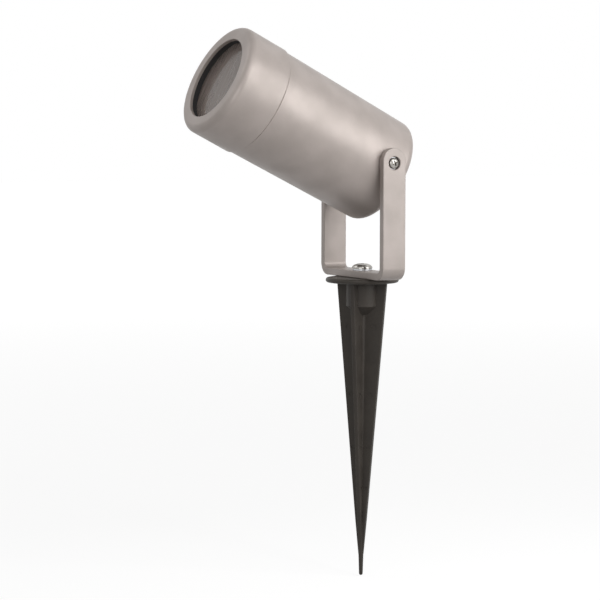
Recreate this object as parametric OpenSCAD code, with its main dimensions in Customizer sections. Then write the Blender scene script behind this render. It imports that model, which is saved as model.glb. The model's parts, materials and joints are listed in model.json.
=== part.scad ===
// Landscape spotlight on a ground spike. A cast tube head with a screw-on front ring tilts
// between the legs of a bent yoke, and the yoke swivels on a moulded spike with four fins.
// The origin is on the spike's axis at the ground line. Z is up and the head aims towards -Y.

/* [Aim] */
// Angle of the head above the horizontal, degrees
head_tilt = 26.6; // [0:0.1:60]
// Turn of the spike's fins about its axis, degrees
fin_turn = 37; // [0:0.5:89]

/* [Front ring] */
// Outer radius of the front ring
ring_r = 32; // [31.6:0.1:36]
// Distance from the tilt axis to the ring's front face
head_front = 104; // [98:0.5:130]
// Length of the ring along the head
ring_len = 27.4; // [26:0.2:32]
// Wall of the ring over the thread
ring_wall = 2.5; // [2.2:0.1:2.8]
// Thickness of the lip in front of the gasket
lip_t = 2; // [1.5:0.1:3]
// Radius of the opening in front of the glass
opening_r = 23.5; // [20:0.1:24.5]
// Rounding of the ring's outer front edge
ring_front_round = 4; // [2:0.1:5]
// Rounding of the ring's outer rear edge
ring_rear_round = 1; // [0.4:0.1:1.2]
// Depth of the skirt bore that covers the sealing ring
skirt_len = 2.4; // [2.2:0.1:3.5]

/* [Glass and gasket] */
// Thickness of the glass
glass_t = 4; // [3:0.2:5]
// Thickness of the gasket's front flange
gasket_front_t = 3.3; // [1:0.1:4]
// Thickness of the gasket's rear flange
gasket_rear_t = 1.5; // [1:0.1:2]
// Thickness of the gasket round the edge of the glass
gasket_edge_t = 1.8; // [1.2:0.1:2.4]
// Width of the gasket's flanges over the glass
gasket_lap = 3.4; // [2.5:0.1:3.8]
// Edge chamfer of the glass
glass_chamfer = 0.4; // [0.2:0.1:0.8]

/* [Housing] */
// Step from the ring down to the tube
tube_step = 0.7; // [0.4:0.1:1.2]
// Radius that the tube loses towards its rear
tube_draft = 0.9; // [0.2:0.1:1.2]
// Distance from the tilt axis to the rear face
head_rear = 14; // [13:0.5:20]
// Rounding of the rear edge
rear_round = 5; // [3:0.5:8]
// Thickness of the rear wall
rear_wall = 3.2; // [2.5:0.1:4]
// Wall of the threaded neck
neck_wall = 2.1; // [1.8:0.1:2.3]
// Radius that the cavity loses towards its rear
cavity_draft = 0.7; // [0.2:0.1:1]
// Rounding at the bottom of the cavity
cavity_round = 2; // [1:0.5:3]
// Radius of the pads that face the yoke's legs
pad_r = 6.8; // [5.5:0.1:7]
// Height of the pads over the side of the tube
pad_proud = 0.1; // [0.1:0.05:0.3]
// Depth of the threaded lugs inside the tube, from the pad
lug_len = 9.5; // [7:0.5:10]
// Radius of the pillars that carry the lamp holder's bracket
pillar_r = 4.2; // [3.6:0.1:4.6]
// Distance from the cavity's wall to the axis of each pillar
pillar_in = 5.6; // [4.6:0.1:6.6]
// Width of the web between each pillar and the wall
pillar_web = 4; // [3:0.5:5]

/* [Sealing ring] */
// Radius of the sealing ring's cord
seal_cord_r = 0.9; // [0.8:0.05:1]
// Depth of its groove in the neck
seal_groove = 0.8; // [0.6:0.05:0.9]

/* [Lamp] */
// Gap between the lamp and the neck round it
lamp_room = 2.3; // [2:0.1:2.8]
// Length of the lamp from its face to its base
lamp_len = 46.4; // [44:0.2:50]
// Length of the straight rim behind the face
lamp_rim = 8; // [6:0.5:12]
// Wall of the rim round the lamp's lens
lamp_rim_wall = 1.6; // [1.2:0.1:1.8]
// Thickness of the lamp's lens
lamp_lens_t = 2.2; // [1.5:0.1:3]
// Radius of the lamp's base
lamp_base_r = 14.2; // [13:0.1:15]
// Length of the lamp's base
lamp_base_len = 13; // [10:0.5:16]
// Width of the slots between the heat sink's fins
sink_slot = 1.6; // [1:0.1:2]
// Number of slots round the heat sink
sink_count = 18; // [12:1:20]
// Gap between the lamp's face and the gasket
lamp_clear = 1.5; // [1:0.1:3]
// Distance between the two pins
pin_pitch = 10; // [9.8:0.1:10.2]
// Radius of a pin's stem
pin_stem_r = 1.5; // [1.3:0.05:1.6]
// Radius of a pin's head
pin_head_r = 2.5; // [2.3:0.05:2.6]
// Length of a pin
pin_len = 7; // [6.5:0.1:7.5]
// Length of a pin's head
pin_head_len = 2.6; // [2:0.1:3]
// Turn that unlocks the lamp, degrees
lamp_twist = 28; // [24:1:32]

/* [Lamp holder] */
// Radius of the ceramic holder
holder_r = 14; // [13.5:0.1:15]
// Length of the holder
holder_len = 18; // [15:0.5:20]
// Thickness of the slotted plate at its front
holder_plate_t = 2.8; // [2.4:0.1:3.2]
// Distance from the holder's edge to the axis of each of its screws
holder_screw_in = 4.4; // [4:0.1:5]
// Thickness of the bracket
bracket_t = 1.5; // [1.2:0.1:2]
// Width of the bracket
bracket_w = 12; // [10:0.5:13]
// Length of the bracket beyond each pillar's axis
bracket_end = 4.2; // [3.6:0.1:4.4]
// Length of the terminal block across the head
block_l = 18; // [16:0.5:19]
// Width of the terminal block
block_w = 14; // [12:0.5:16]
// Height of the terminal block
block_h = 11; // [10:0.5:12]
// Radius of a lead
lead_r = 1.1; // [0.8:0.05:1.2]
// Radius of a lead's bend
lead_bend = 3; // [2.8:0.1:3.2]

/* [Cable gland] */
// Radius of the gland's thread through the rear wall
gland_r = 7.9; // [7:0.1:8]
// Radius of the cable bore in the seal
cable_r = 3.5; // [3:0.1:3.8]
// Thickness of the flat washer under the gland
gland_washer_t = 1; // [0.8:0.1:1.5]
// Thickness of the gland's hexagon
gland_hex_t = 3; // [2.5:0.1:4]
// Step from the gland's thread to the flats of its hexagon
gland_hex_step = 0.8; // [0.6:0.1:1.6]
// Length of the gland's mouth behind the hexagon
gland_mouth = 4.4; // [4:0.1:6]
// Length of the cap nut
cap_len = 7.8; // [7.6:0.1:9.5]
// Wall of the cap nut over its thread
cap_wall = 1.6; // [1.3:0.1:2]
// Length of the flats at the cap nut's front
cap_flat_len = 4.4; // [3:0.1:5]
// Thickness of the lock nut inside the housing
locknut_t = 4; // [3:0.5:5]

/* [Yoke] */
// Width of the yoke's strip
strip_w = 14.5; // [14.2:0.1:18]
// Thickness of the strip
strip_t = 4; // [3.6:0.1:5]
// Inner radius of the two bends
bend_r = 3; // [2:0.5:6]
// Height of the tilt axis over the underside of the yoke
pivot_h = 65.2; // [58:0.2:80]
// Distance from the tilt axis to the centre of each leg's round end
leg_top = 1.2; // [0:0.1:2]
// Thickness of the washer between a leg and the head
friction_t = 0.4; // [0.3:0.05:0.8]

/* [Screws] */
// Thread radius of the tilt screws
pivot_screw_r = 2; // [1.8:0.05:2.1]
// Head radius of the tilt screws
pivot_head_r = 3.3; // [3.1:0.05:3.4]
// Head height of the tilt screws
pivot_head_h = 2.2; // [2:0.1:2.5]
// Depth of the recess for the tilt screws
pivot_sink = 2.4; // [2.1:0.1:2.6]
// Radius of that recess
pivot_sink_r = 3.95; // [3.7:0.05:4.2]
// Thread radius of the swivel screw
base_screw_r = 3; // [2.8:0.05:3.2]
// Head radius of the swivel screw
base_head_r = 5.85; // [5.6:0.05:6.2]
// Head height of the swivel screw
base_head_h = 3.9; // [3.4:0.1:4.4]
// Length of the swivel screw below its head
base_screw_len = 16; // [14.5:0.5:18]
// Thickness of the lock washer under it
lock_t = 0.9; // [0.7:0.1:1.2]
// Size of the nut in the spike, across flats
nut_w = 10; // [9.6:0.1:10.4]
// Thickness of the nut
nut_t = 5; // [4:0.5:6]

/* [Spike] */
// Depth of the spike's point below the ground line
spike_len = 168.6; // [120:1:220]
// Radius of the flange
flange_r = 20.8; // [20:0.1:24]
// Thickness of the flange
flange_t = 2.8; // [2:0.1:4]
// Reach of the fins at the ground line
fin_reach = 15.1; // [13:0.1:19]
// Reach of the fins where the round point starts
fin_reach_low = 1.25; // [1.2:0.05:2.4]
// Thickness of the fins
fin_t = 2.4; // [2:0.1:3]
// Radius of the boss under the flange
boss_r = 9.1; // [8.6:0.1:11]
// Depth of the boss
boss_len = 13.7; // [12:0.1:20]
// Depth of the cone under the boss
boss_cone = 5; // [3:0.5:8]
// Radius of the core where the fins cross
core_r = 2.4; // [1.6:0.1:3]
// Radius of the round point
tip_r = 1.05; // [0.8:0.05:1.2]
// Length of the round point
tip_len = 8; // [5:0.5:10]
// Radius of the ejector marks on the fins
mark_r = 1.5; // [1:0.1:1.8]
// Depth of the ejector marks
mark_depth = 0.25; // [0.1:0.05:0.4]

/* [Fits] */
// Gap between flat faces that turn on each other
seat_gap = 0.05; // [0.02:0.01:0.1]
// Radial gap of a thread
thread_gap = 0.1; // [0.05:0.01:0.15]
// Radial gap of a turning bore
turn_gap = 0.15; // [0.1:0.01:0.25]
// Gap between the ring and the tube's shoulder
seam_gap = 0.3; // [0.2:0.05:0.5]

/* [Hidden] */
$fn = 96;
over = 0.01;
paint = [0.74, 0.70, 0.67];
steel = [0.78, 0.78, 0.77];
black = [0.16, 0.15, 0.14];

// Front ring and what it clamps, along the head's axis
thread_r = ring_r - ring_wall;
neck_r = thread_r - thread_gap;
neck_in_r = neck_r - neck_wall;
lamp_r = neck_in_r - lamp_room;
seam_z = head_front - ring_len;
ring_rear_z = seam_z + seam_gap;
lip_back_z = head_front - lip_t;
gasket_r = neck_r;
gasket_front_z = lip_back_z - seat_gap;
glass_front_z = gasket_front_z - gasket_front_t;
glass_back_z = glass_front_z - glass_t;
gasket_back_z = glass_back_z - gasket_rear_t;
neck_end_z = gasket_back_z - seat_gap;
glass_r = gasket_r - gasket_edge_t;
skirt_r = neck_r - seal_groove + 2 * seal_cord_r + 2 * thread_gap;

// Housing
tube_r = ring_r - tube_step;
rear_r = tube_r - tube_draft;
rear_z = -head_rear;
floor_z = rear_z + rear_wall;
cavity_rear_r = neck_in_r - cavity_draft;
pillar_y = cavity_rear_r - pillar_in;
web_end_y = cavity_rear_r + (neck_wall + cavity_draft) / 2;
draft_span = seam_z - rear_z - rear_round;
side_r = rear_r + tube_draft * (0 - rear_z - rear_round) / draft_span;
pad_x = side_r + pad_proud;
lug_x = pad_x - lug_len;

// Lamp, holder and bracket, from the glass backwards
lamp_face_z = gasket_back_z - lamp_clear;
lamp_foot_z = lamp_face_z - lamp_len;
holder_front_z = lamp_foot_z - seat_gap;
holder_back_z = holder_front_z - holder_len;
pillar_top_z = holder_back_z - bracket_t;
lens_sunk = 0.2;
sink_step = 0.8;
sink_depth = 1.5;
sink_foot = 2;
foot_cut = 1.2;
edge_cut = 0.6;
pin_r = pin_pitch / 2;
slot_gap = 0.25;
slot_ease = 0.1;
pin_pocket_r = pin_head_r + slot_gap;
contact_t = 0.6;
contact_gap = 0.1;
pocket_depth = pin_len + contact_gap + contact_t;
block_back_z = pillar_top_z - block_h;
lead_x = block_l / 2 + lead_bend;
lead_z = pillar_top_z - block_h / 2;

// Yoke and pivot
leg_in = pad_x + friction_t + 2 * seat_gap;
leg_out = leg_in + strip_t;
base_z = flange_t + seat_gap;
pivot_z = flange_t + seat_gap + pivot_h;
base_top_z = base_z + strip_t;
pivot_bore_r = pivot_screw_r + turn_gap;
base_bore_r = base_screw_r + turn_gap;
base_seat_z = base_top_z + seat_gap + lock_t;
nut_gap = 0.1;
nut_cover = 0.2;
nut_z = flange_t - nut_cover - nut_t;
hole_spare = 1.5;
base_lock_in = 0.5;
pivot_end_gap = 0.8;
pad_edge = 0.4;
spring_t = 0.8;
sink_floor_x = leg_out - pivot_sink;
pivot_seat_x = sink_floor_x + seat_gap + spring_t;
pivot_screw_len = pivot_seat_x - lug_x - pivot_end_gap;

// The cable gland's parts follow one another outwards from the rear face
hex_front_z = rear_z - gland_washer_t;
hex_back_z = hex_front_z - gland_hex_t;
gland_hex_w = 2 * (gland_r + gland_hex_step);
mouth_z = hex_back_z - gland_mouth;
mouth_step = 0.4;
mouth_r = gland_r - mouth_step;
mouth_wall = 1.6;
seal_r = mouth_r - mouth_wall;
seal_proud = 0.4;
seal_stop = 1;
seal_back_z = mouth_z - seal_proud;
seal_front_z = hex_front_z - seal_stop;
cap_gap = 0.2;
cap_front_z = hex_back_z - cap_gap;
cap_back_z = cap_front_z - cap_len;
cap_bore_r = mouth_r + thread_gap;
cap_r = cap_bore_r + cap_wall;
cap_flat_cut = 0.5;
locknut_step = 2.1;
thread_end_z = floor_z + locknut_t + 1;

// Small screws inside the head
holder_screw_y = holder_r - holder_screw_in;
holder_screw_r = 1.5;
holder_head_r = 2.8;
holder_head_h = 2;
holder_sink_r = 3.2;
holder_sink = 5;
bracket_screw_r = 1.75;
bracket_head_r = 3.2;
bracket_head_h = 2.4;
bracket_screw_len = 8;
block_sink = 3;
holder_screw_len = holder_len + bracket_t - holder_sink;
block_screw_len = block_h - block_sink + bracket_t;
terminal_x = block_l * 0.33;
terminal_y = block_w * 0.28;
terminal_r = 1.5;
terminal_h = 1.5;
terminal_sink = 0.7;

// Earth point on the rear wall
earth_turn = -45;
earth_in = 8.1;
earth_x = cavity_rear_r - earth_in;
earth_pad_r = 4.4;
earth_pad_h = 1.5;
earth_screw_r = 2;
earth_head_r = 3.6;
earth_head_h = 2.6;
earth_depth = 1.4;

// Moves what is drawn along the head's axis to its aim
module aim() {
    translate([0, 0, pivot_z])
        rotate([90 - head_tilt, 0, 0])
            children();
}

// Removes the outside of a convex corner at the origin, leaving an arc
module corner_mask(rad, side_x, side_y) {
    difference() {
        translate([side_x > 0 ? -rad : -over, side_y > 0 ? -rad : -over])
            square(rad + over);
        translate([-side_x * rad, -side_y * rad])
            circle(rad);
    }
}

// Ring section between two radii and two heights
module band(r_in, r_out, z_low, z_high) {
    translate([r_in, z_low])
        square([r_out - r_in, z_high - z_low]);
}

// Cross recess of a screw, cut downwards from its top
module cross_recess(reach, width, depth) {
    for (turn = [0, 90])
        rotate([0, 0, turn])
            translate([-reach, -width / 2, -depth])
                cube([2 * reach, width, depth + over]);
}

// Screw with a rounded head on z = 0 and its shank below
module pan_screw(head_r, head_h, shank_r, shank_len, tip_chamfer = 0.4) {
    difference() {
        union() {
            rotate_extrude()
                difference() {
                    square([head_r, head_h]);
                    translate([head_r, head_h])
                        corner_mask(head_h * 0.62, 1, 1);
                }
            rotate_extrude()
                polygon([
                    [0, over], [shank_r, over], [shank_r, -shank_len + tip_chamfer],
                    [shank_r - tip_chamfer, -shank_len], [0, -shank_len]
                ]);
        }
        translate([0, 0, head_h])
            cross_recess(head_r * 0.5, head_r * 0.16, head_h * 0.55);
    }
}

// Split spring washer on z = 0
module split_washer(r_in, r_out, thick) {
    difference() {
        rotate_extrude()
            band(r_in, r_out, 0, thick);
        rotate([0, 0, 40])
            translate([0, -0.3, -over])
                cube([r_out + 1, 0.6, thick + 2 * over]);
    }
}

// Hexagonal nut on z = 0
module hex_nut(flats, thick, bore_r) {
    difference() {
        intersection() {
            cylinder(r = flats / 2 / cos(30), h = thick, $fn = 6);
            rotate_extrude()
                polygon([
                    [0, 0], [flats / 2, 0], [flats / 2 * 1.155, flats * 0.05],
                    [flats / 2 * 1.155, thick - flats * 0.05], [flats / 2, thick], [0, thick]
                ]);
        }
        translate([0, 0, -over])
            cylinder(r = bore_r, h = thick + 2 * over);
    }
}

// Curved slot that rises from z = 0, with round ends a little wider than the slot
module arc_slot(r_mid, half_w, depth, sweep) {
    rotate_extrude(angle = sweep)
        translate([r_mid - half_w, 0])
            square([2 * half_w, depth]);
    for (turn = [0, sweep])
        rotate([0, 0, turn])
            translate([r_mid, 0, 0])
                cylinder(r = half_w + slot_ease, h = depth);
}

// One pair of opposite fins, tapering towards the point
module fin_pair() {
    fin_low_z = tip_len - spike_len;
    rotate([90, 0, 0])
        translate([0, 0, -fin_t / 2])
            linear_extrude(fin_t)
                polygon([
                    [-fin_reach, over], [fin_reach, over],
                    [fin_reach_low, fin_low_z], [-fin_reach_low, fin_low_z]
                ]);
}

// Shallow round marks that the mould's ejectors leave on both faces of a pair of fins,
// smaller towards the point
module ejector_marks() {
    mark_at = 0.6;
    mark_top = 1.15;
    mark_loss = 0.6;
    for (depth = [0.15, 0.38, 0.56, 0.7], side = [-1, 1], face = [-1, 1])
        translate([
            side * (fin_reach + (fin_reach_low - fin_reach) * depth) * mark_at,
            face * fin_t / 2,
            -depth * spike_len
        ])
            rotate([90, 0, 0])
                translate([0, 0, -mark_depth])
                    cylinder(r = mark_r * (mark_top - depth * mark_loss), h = 2 * mark_depth, $fn = 32);
}

module ground_spike() {
    color(black)
        difference() {
            union() {
                rotate_extrude() {
                    square([flange_r - flange_t / 2, flange_t]);
                    translate([flange_r - flange_t / 2, flange_t / 2])
                        circle(flange_t / 2);
                }
                translate([0, 0, -boss_len])
                    cylinder(r = boss_r, h = boss_len + over);
                translate([0, 0, -boss_len - boss_cone])
                    cylinder(r1 = core_r, r2 = boss_r, h = boss_cone);
                rotate([0, 0, fin_turn]) {
                    fin_pair();
                    rotate([0, 0, 90])
                        fin_pair();
                }
                translate([0, 0, tip_len - spike_len])
                    cylinder(r1 = tip_r, r2 = core_r, h = spike_len - tip_len);
                translate([0, 0, tip_r - spike_len])
                    cylinder(r = tip_r, h = tip_len);
                translate([0, 0, tip_r - spike_len])
                    sphere(tip_r);
            }
            // Hexagonal pocket for the nut and the hole that the screw runs into
            translate([0, 0, nut_z])
                cylinder(r = (nut_w / 2 + nut_gap) / cos(30), h = nut_t + 1, $fn = 6);
            translate([0, 0, base_seat_z - base_screw_len - hole_spare])
                cylinder(r = base_screw_r + thread_gap, h = base_screw_len);
            rotate([0, 0, fin_turn]) {
                ejector_marks();
                rotate([0, 0, 90])
                    ejector_marks();
            }
        }
}

module spike_nut() {
    color(steel)
        translate([0, 0, nut_z])
            hex_nut(nut_w, nut_t, base_screw_r);
}

module base_screw() {
    color(steel)
        translate([0, 0, base_seat_z])
            rotate([0, 0, 20])
                pan_screw(base_head_r, base_head_h, base_screw_r, base_screw_len);
}

module base_lock_washer() {
    color(steel)
        translate([0, 0, base_top_z + seat_gap])
            split_washer(base_screw_r, base_head_r - base_lock_in, lock_t);
}

module yoke_bracket() {
    leg_z = pivot_z + leg_top;
    round_r = strip_w / 2;
    color(paint)
        difference() {
            intersection() {
                rotate([90, 0, 0])
                    translate([0, 0, -round_r])
                        linear_extrude(strip_w)
                            difference() {
                                translate([-leg_out, base_z])
                                    square([2 * leg_out, leg_z + strip_w - base_z]);
                                for (side = [-1, 1])
                                    translate([side * leg_out, base_z])
                                        corner_mask(bend_r + strip_t, side, -1);
                                difference() {
                                    translate([-leg_in, base_top_z])
                                        square([2 * leg_in, leg_z + 2 * strip_w]);
                                    for (side = [-1, 1])
                                        translate([side * leg_in, base_top_z])
                                            corner_mask(bend_r, side, -1);
                                }
                            }
                translate([-leg_out - 1, 0, 0])
                    rotate([90, 0, 90])
                        linear_extrude(2 * leg_out + 2) {
                            translate([-round_r, 0])
                                square([strip_w, leg_z]);
                            translate([0, leg_z])
                                circle(round_r);
                        }
            }
            for (side = [-1, 1])
                translate([side * leg_out, 0, pivot_z])
                    rotate([0, -side * 90, 0]) {
                        translate([0, 0, -1])
                            cylinder(r = pivot_bore_r, h = strip_t + 2);
                        translate([0, 0, -1])
                            cylinder(r = pivot_sink_r, h = pivot_sink + 1);
                    }
            translate([0, 0, base_z - 1])
                cylinder(r = base_bore_r, h = strip_t + 2);
        }
}

module friction_washers() {
    color(black)
        for (side = [-1, 1])
            translate([side * (pad_x + seat_gap), 0, pivot_z])
                rotate([0, side * 90, 0])
                    rotate_extrude()
                        band(pivot_bore_r, pad_r - pad_edge, 0, friction_t);
}

module pivot_screws() {
    color(steel)
        for (side = [-1, 1])
            translate([side * pivot_seat_x, 0, pivot_z])
                rotate([0, side * 90, 0])
                    rotate([0, 0, 25])
                        pan_screw(pivot_head_r, pivot_head_h, pivot_screw_r, pivot_screw_len);
}

module pivot_lock_washers() {
    color(steel)
        for (side = [-1, 1])
            translate([side * (sink_floor_x + seat_gap), 0, pivot_z])
                rotate([0, side * 90, 0])
                    split_washer(pivot_screw_r, pivot_head_r, spring_t);
}

// Half section of the housing's outside, rear face at the bottom
module housing_outside() {
    difference() {
        polygon([
            [0, rear_z], [rear_r, rear_z], [rear_r, rear_z + rear_round], [tube_r, seam_z],
            [neck_r - seal_groove, seam_z],
            [neck_r - seal_groove, seam_z + 2 * seal_cord_r + 2 * thread_gap],
            [neck_r, seam_z + 2 * seal_cord_r + 2 * thread_gap],
            [neck_r, neck_end_z - edge_cut], [neck_r - edge_cut, neck_end_z], [0, neck_end_z]
        ]);
        translate([rear_r, rear_z])
            corner_mask(rear_round, 1, -1);
    }
}

// Half section of the cavity
module housing_cavity() {
    difference() {
        polygon([
            [0, floor_z], [cavity_rear_r, floor_z], [cavity_rear_r, floor_z + cavity_round],
            [neck_in_r, neck_end_z + over], [0, neck_end_z + over]
        ]);
        translate([cavity_rear_r, floor_z])
            corner_mask(cavity_round, 1, -1);
    }
}

module head_housing() {
    color(paint)
        aim()
            difference() {
                union() {
                    rotate_extrude()
                        difference() {
                            housing_outside();
                            housing_cavity();
                        }
                    for (side = [-1, 1]) {
                        translate([side * lug_x, 0, 0])
                            rotate([0, side * 90, 0])
                                cylinder(r = pad_r, h = lug_len);
                        translate([0, side * pillar_y, floor_z - 1])
                            cylinder(r = pillar_r, h = pillar_top_z - floor_z + 1);
                        translate([-pillar_web / 2, side > 0 ? pillar_y : -web_end_y, floor_z - 1])
                            cube([pillar_web, web_end_y - pillar_y, pillar_top_z - floor_z + 1]);
                    }
                    // Pad for the earth screw
                    rotate([0, 0, earth_turn])
                        translate([earth_x, 0, floor_z - 1])
                            cylinder(r = earth_pad_r, h = 1 + earth_pad_h);
                }
                translate([0, 0, rear_z - 1])
                    cylinder(r = gland_r + thread_gap, h = rear_wall + 2);
                for (side = [-1, 1]) {
                    translate([side * (lug_x - 1), 0, 0])
                        rotate([0, side * 90, 0])
                            cylinder(r = pivot_screw_r, h = lug_len + 2);
                    translate([0, side * pillar_y, pillar_top_z - bracket_screw_len])
                        cylinder(r = bracket_screw_r, h = bracket_screw_len + 1);
                }
                rotate([0, 0, earth_turn])
                    translate([earth_x, 0, floor_z - earth_depth])
                        cylinder(r = earth_screw_r, h = earth_depth + earth_pad_h + 1);
            }
}

module neck_seal() {
    color(black)
        aim()
            rotate_extrude()
                translate([neck_r - seal_groove + seal_cord_r, seam_z + seal_cord_r + thread_gap])
                    circle(seal_cord_r, $fn = 32);
}

module front_ring() {
    color(paint)
        aim()
            rotate_extrude()
                difference() {
                    band(0, ring_r, ring_rear_z, head_front);
                    translate([ring_r, head_front])
                        corner_mask(ring_front_round, 1, 1);
                    translate([ring_r, ring_rear_z])
                        corner_mask(ring_rear_round, 1, -1);
                    band(0, opening_r, ring_rear_z - 1, head_front + 1);
                    translate([opening_r, head_front])
                        corner_mask(0.5, -1, 1);
                    band(0, thread_r, ring_rear_z - 1, lip_back_z);
                    band(0, skirt_r, ring_rear_z - 1, ring_rear_z + skirt_len);
                }
}

module lens_gasket() {
    lap_r = glass_r - gasket_lap;
    color(black)
        aim()
            rotate_extrude() {
                band(lap_r, gasket_r, glass_front_z, gasket_front_z);
                band(glass_r, gasket_r, gasket_back_z, gasket_front_z);
                band(lap_r, gasket_r, gasket_back_z, glass_back_z);
            }
}

module lens_glass() {
    color([0.78, 0.84, 0.84], 0.5)
        aim()
            rotate_extrude()
                polygon([
                    [0, glass_back_z], [glass_r - glass_chamfer, glass_back_z],
                    [glass_r, glass_back_z + glass_chamfer], [glass_r, glass_front_z - glass_chamfer],
                    [glass_r - glass_chamfer, glass_front_z], [0, glass_front_z]
                ]);
}

module lamp_body() {
    base_top_z = lamp_foot_z + lamp_base_len;
    rim_z = lamp_face_z - lamp_rim;
    lens_r = lamp_r - lamp_rim_wall;
    color([0.40, 0.39, 0.38])
        aim()
            difference() {
                rotate_extrude()
                    difference() {
                        polygon([
                            [0, base_top_z], [lamp_base_r + sink_step, base_top_z], [lamp_r, rim_z],
                            [lamp_r, lamp_face_z - edge_cut], [lamp_r - edge_cut, lamp_face_z],
                            [0, lamp_face_z]
                        ]);
                        band(0, lens_r, lamp_face_z - lamp_lens_t, lamp_face_z + 1);
                    }
                for (turn = [0 : 360 / sink_count : 359])
                    rotate([0, 0, turn])
                        translate([lamp_base_r - sink_depth, -sink_slot / 2, base_top_z + sink_foot])
                            cube([lamp_r, sink_slot, rim_z - base_top_z - sink_foot]);
            }
}

module lamp_lens() {
    color([0.40, 0.39, 0.38])
        aim()
            rotate_extrude()
                band(0, lamp_r - lamp_rim_wall, lamp_face_z - lamp_lens_t, lamp_face_z - lens_sunk);
}

module lamp_base() {
    color([0.95, 0.95, 0.93])
        aim()
            rotate_extrude()
                polygon([
                    [0, lamp_foot_z], [lamp_base_r - foot_cut, lamp_foot_z],
                    [lamp_base_r, lamp_foot_z + foot_cut],
                    [lamp_base_r, lamp_foot_z + lamp_base_len], [0, lamp_foot_z + lamp_base_len]
                ]);
}

module lamp_pins() {
    color([0.80, 0.78, 0.70])
        aim()
            for (side = [-1, 1])
                translate([side * pin_r, 0, lamp_foot_z - pin_len]) {
                    cylinder(r = pin_stem_r, h = pin_len);
                    cylinder(r = pin_head_r, h = pin_head_len);
                }
}

module lamp_holder() {
    color([0.93, 0.92, 0.88])
        aim()
            difference() {
                translate([0, 0, holder_back_z])
                    cylinder(r = holder_r, h = holder_len);
                for (turn = [0, 180])
                    rotate([0, 0, turn])
                        translate([0, 0, holder_front_z]) {
                            translate([0, 0, -pocket_depth])
                                arc_slot(pin_r, pin_pocket_r, pocket_depth - holder_plate_t, lamp_twist);
                            translate([0, 0, -holder_plate_t - 1])
                                arc_slot(pin_r, pin_stem_r + slot_gap, holder_plate_t + 2, lamp_twist);
                            rotate([0, 0, lamp_twist])
                                translate([pin_r, 0, -holder_plate_t - 1])
                                    cylinder(r = pin_pocket_r + 3 * slot_ease, h = holder_plate_t + 2);
                        }
                for (side = [-1, 1])
                    translate([0, side * holder_screw_y, 0]) {
                        translate([0, 0, holder_back_z - 1])
                            cylinder(r = holder_screw_r + turn_gap, h = holder_len + 2);
                        translate([0, 0, holder_front_z - holder_sink])
                            cylinder(r = holder_sink_r, h = holder_sink + 1);
                    }
            }
}

module holder_contacts() {
    color([0.80, 0.65, 0.35])
        aim()
            for (side = [-1, 1])
                translate([side * pin_r, 0, holder_front_z - pocket_depth])
                    cylinder(r = pin_stem_r, h = contact_t);
}

module holder_bracket() {
    round_y = pillar_y + bracket_end - bracket_w / 2;
    color([0.72, 0.73, 0.74])
        aim()
            difference() {
                translate([0, 0, pillar_top_z]) {
                    translate([-bracket_w / 2, -round_y, 0])
                        cube([bracket_w, 2 * round_y, bracket_t]);
                    for (side = [-1, 1])
                        translate([0, side * round_y, 0])
                            cylinder(r = bracket_w / 2, h = bracket_t);
                }
                for (side = [-1, 1]) {
                    translate([0, side * pillar_y, pillar_top_z - 1])
                        cylinder(r = bracket_screw_r + turn_gap, h = bracket_t + 2);
                    translate([0, side * holder_screw_y, pillar_top_z - 1])
                        cylinder(r = holder_screw_r, h = bracket_t + 2);
                }
                translate([0, 0, pillar_top_z - 1])
                    cylinder(r = holder_screw_r, h = bracket_t + 2);
            }
}

module holder_screws() {
    color(steel)
        aim()
            for (side = [-1, 1])
                translate([0, side * holder_screw_y, holder_front_z - holder_sink])
                    pan_screw(holder_head_r, holder_head_h, holder_screw_r, holder_screw_len);
}

module bracket_screws() {
    color(steel)
        aim()
            for (side = [-1, 1])
                translate([0, side * pillar_y, pillar_top_z + bracket_t])
                    pan_screw(bracket_head_r, bracket_head_h, bracket_screw_r, bracket_screw_len);
}

module terminal_block() {
    color([0.93, 0.92, 0.88])
        aim()
            difference() {
                translate([-block_l / 2, -block_w / 2, block_back_z])
                    cube([block_l, block_w, block_h]);
                // Bore and sunk head of the screw that holds it to the bracket
                translate([0, 0, block_back_z - 1])
                    cylinder(r = holder_screw_r + turn_gap, h = block_h + 2);
                translate([0, 0, block_back_z - 1])
                    cylinder(r = holder_sink_r, h = block_sink + 1);
                for (side_x = [-1, 1], side_y = [-1, 1])
                    translate([side_x * terminal_x, side_y * terminal_y, block_back_z - 1])
                        cylinder(r = terminal_r + turn_gap, h = 1 + terminal_sink + terminal_h);
            }
}

module block_screw() {
    color(steel)
        aim()
            translate([0, 0, block_back_z + block_sink])
                rotate([180, 0, 0])
                    pan_screw(holder_head_r, holder_head_h, holder_screw_r, block_screw_len);
}

module terminal_screws() {
    color([0.80, 0.65, 0.35])
        aim()
            for (side_x = [-1, 1], side_y = [-1, 1])
                translate([side_x * terminal_x, side_y * terminal_y, block_back_z + terminal_sink])
                    cylinder(r = terminal_r, h = terminal_h);
}

module holder_leads() {
    color([0.90, 0.88, 0.84])
        aim()
            for (side = [0, 180])
                rotate([0, 0, side]) {
                    translate([lead_x, 0, lead_z + lead_bend])
                        cylinder(r = lead_r, h = holder_back_z - lead_z - lead_bend);
                    translate([lead_x - lead_bend, 0, lead_z + lead_bend])
                        rotate([90, 0, 0])
                            rotate([0, 0, -90])
                                rotate_extrude(angle = 90)
                                    translate([lead_bend, 0])
                                        circle(lead_r, $fn = 32);
                }
}

module earth_screw() {
    color(steel)
        aim()
            rotate([0, 0, earth_turn])
                translate([earth_x, 0, floor_z + earth_pad_h])
                    pan_screw(earth_head_r, earth_head_h, earth_screw_r, earth_pad_h + earth_depth);
}

module gland_washer() {
    color(black)
        aim()
            translate([0, 0, rear_z - gland_washer_t])
                rotate_extrude()
                    band(gland_r + thread_gap, gland_hex_w / 2 + 0.2, 0, gland_washer_t);
}

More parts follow.
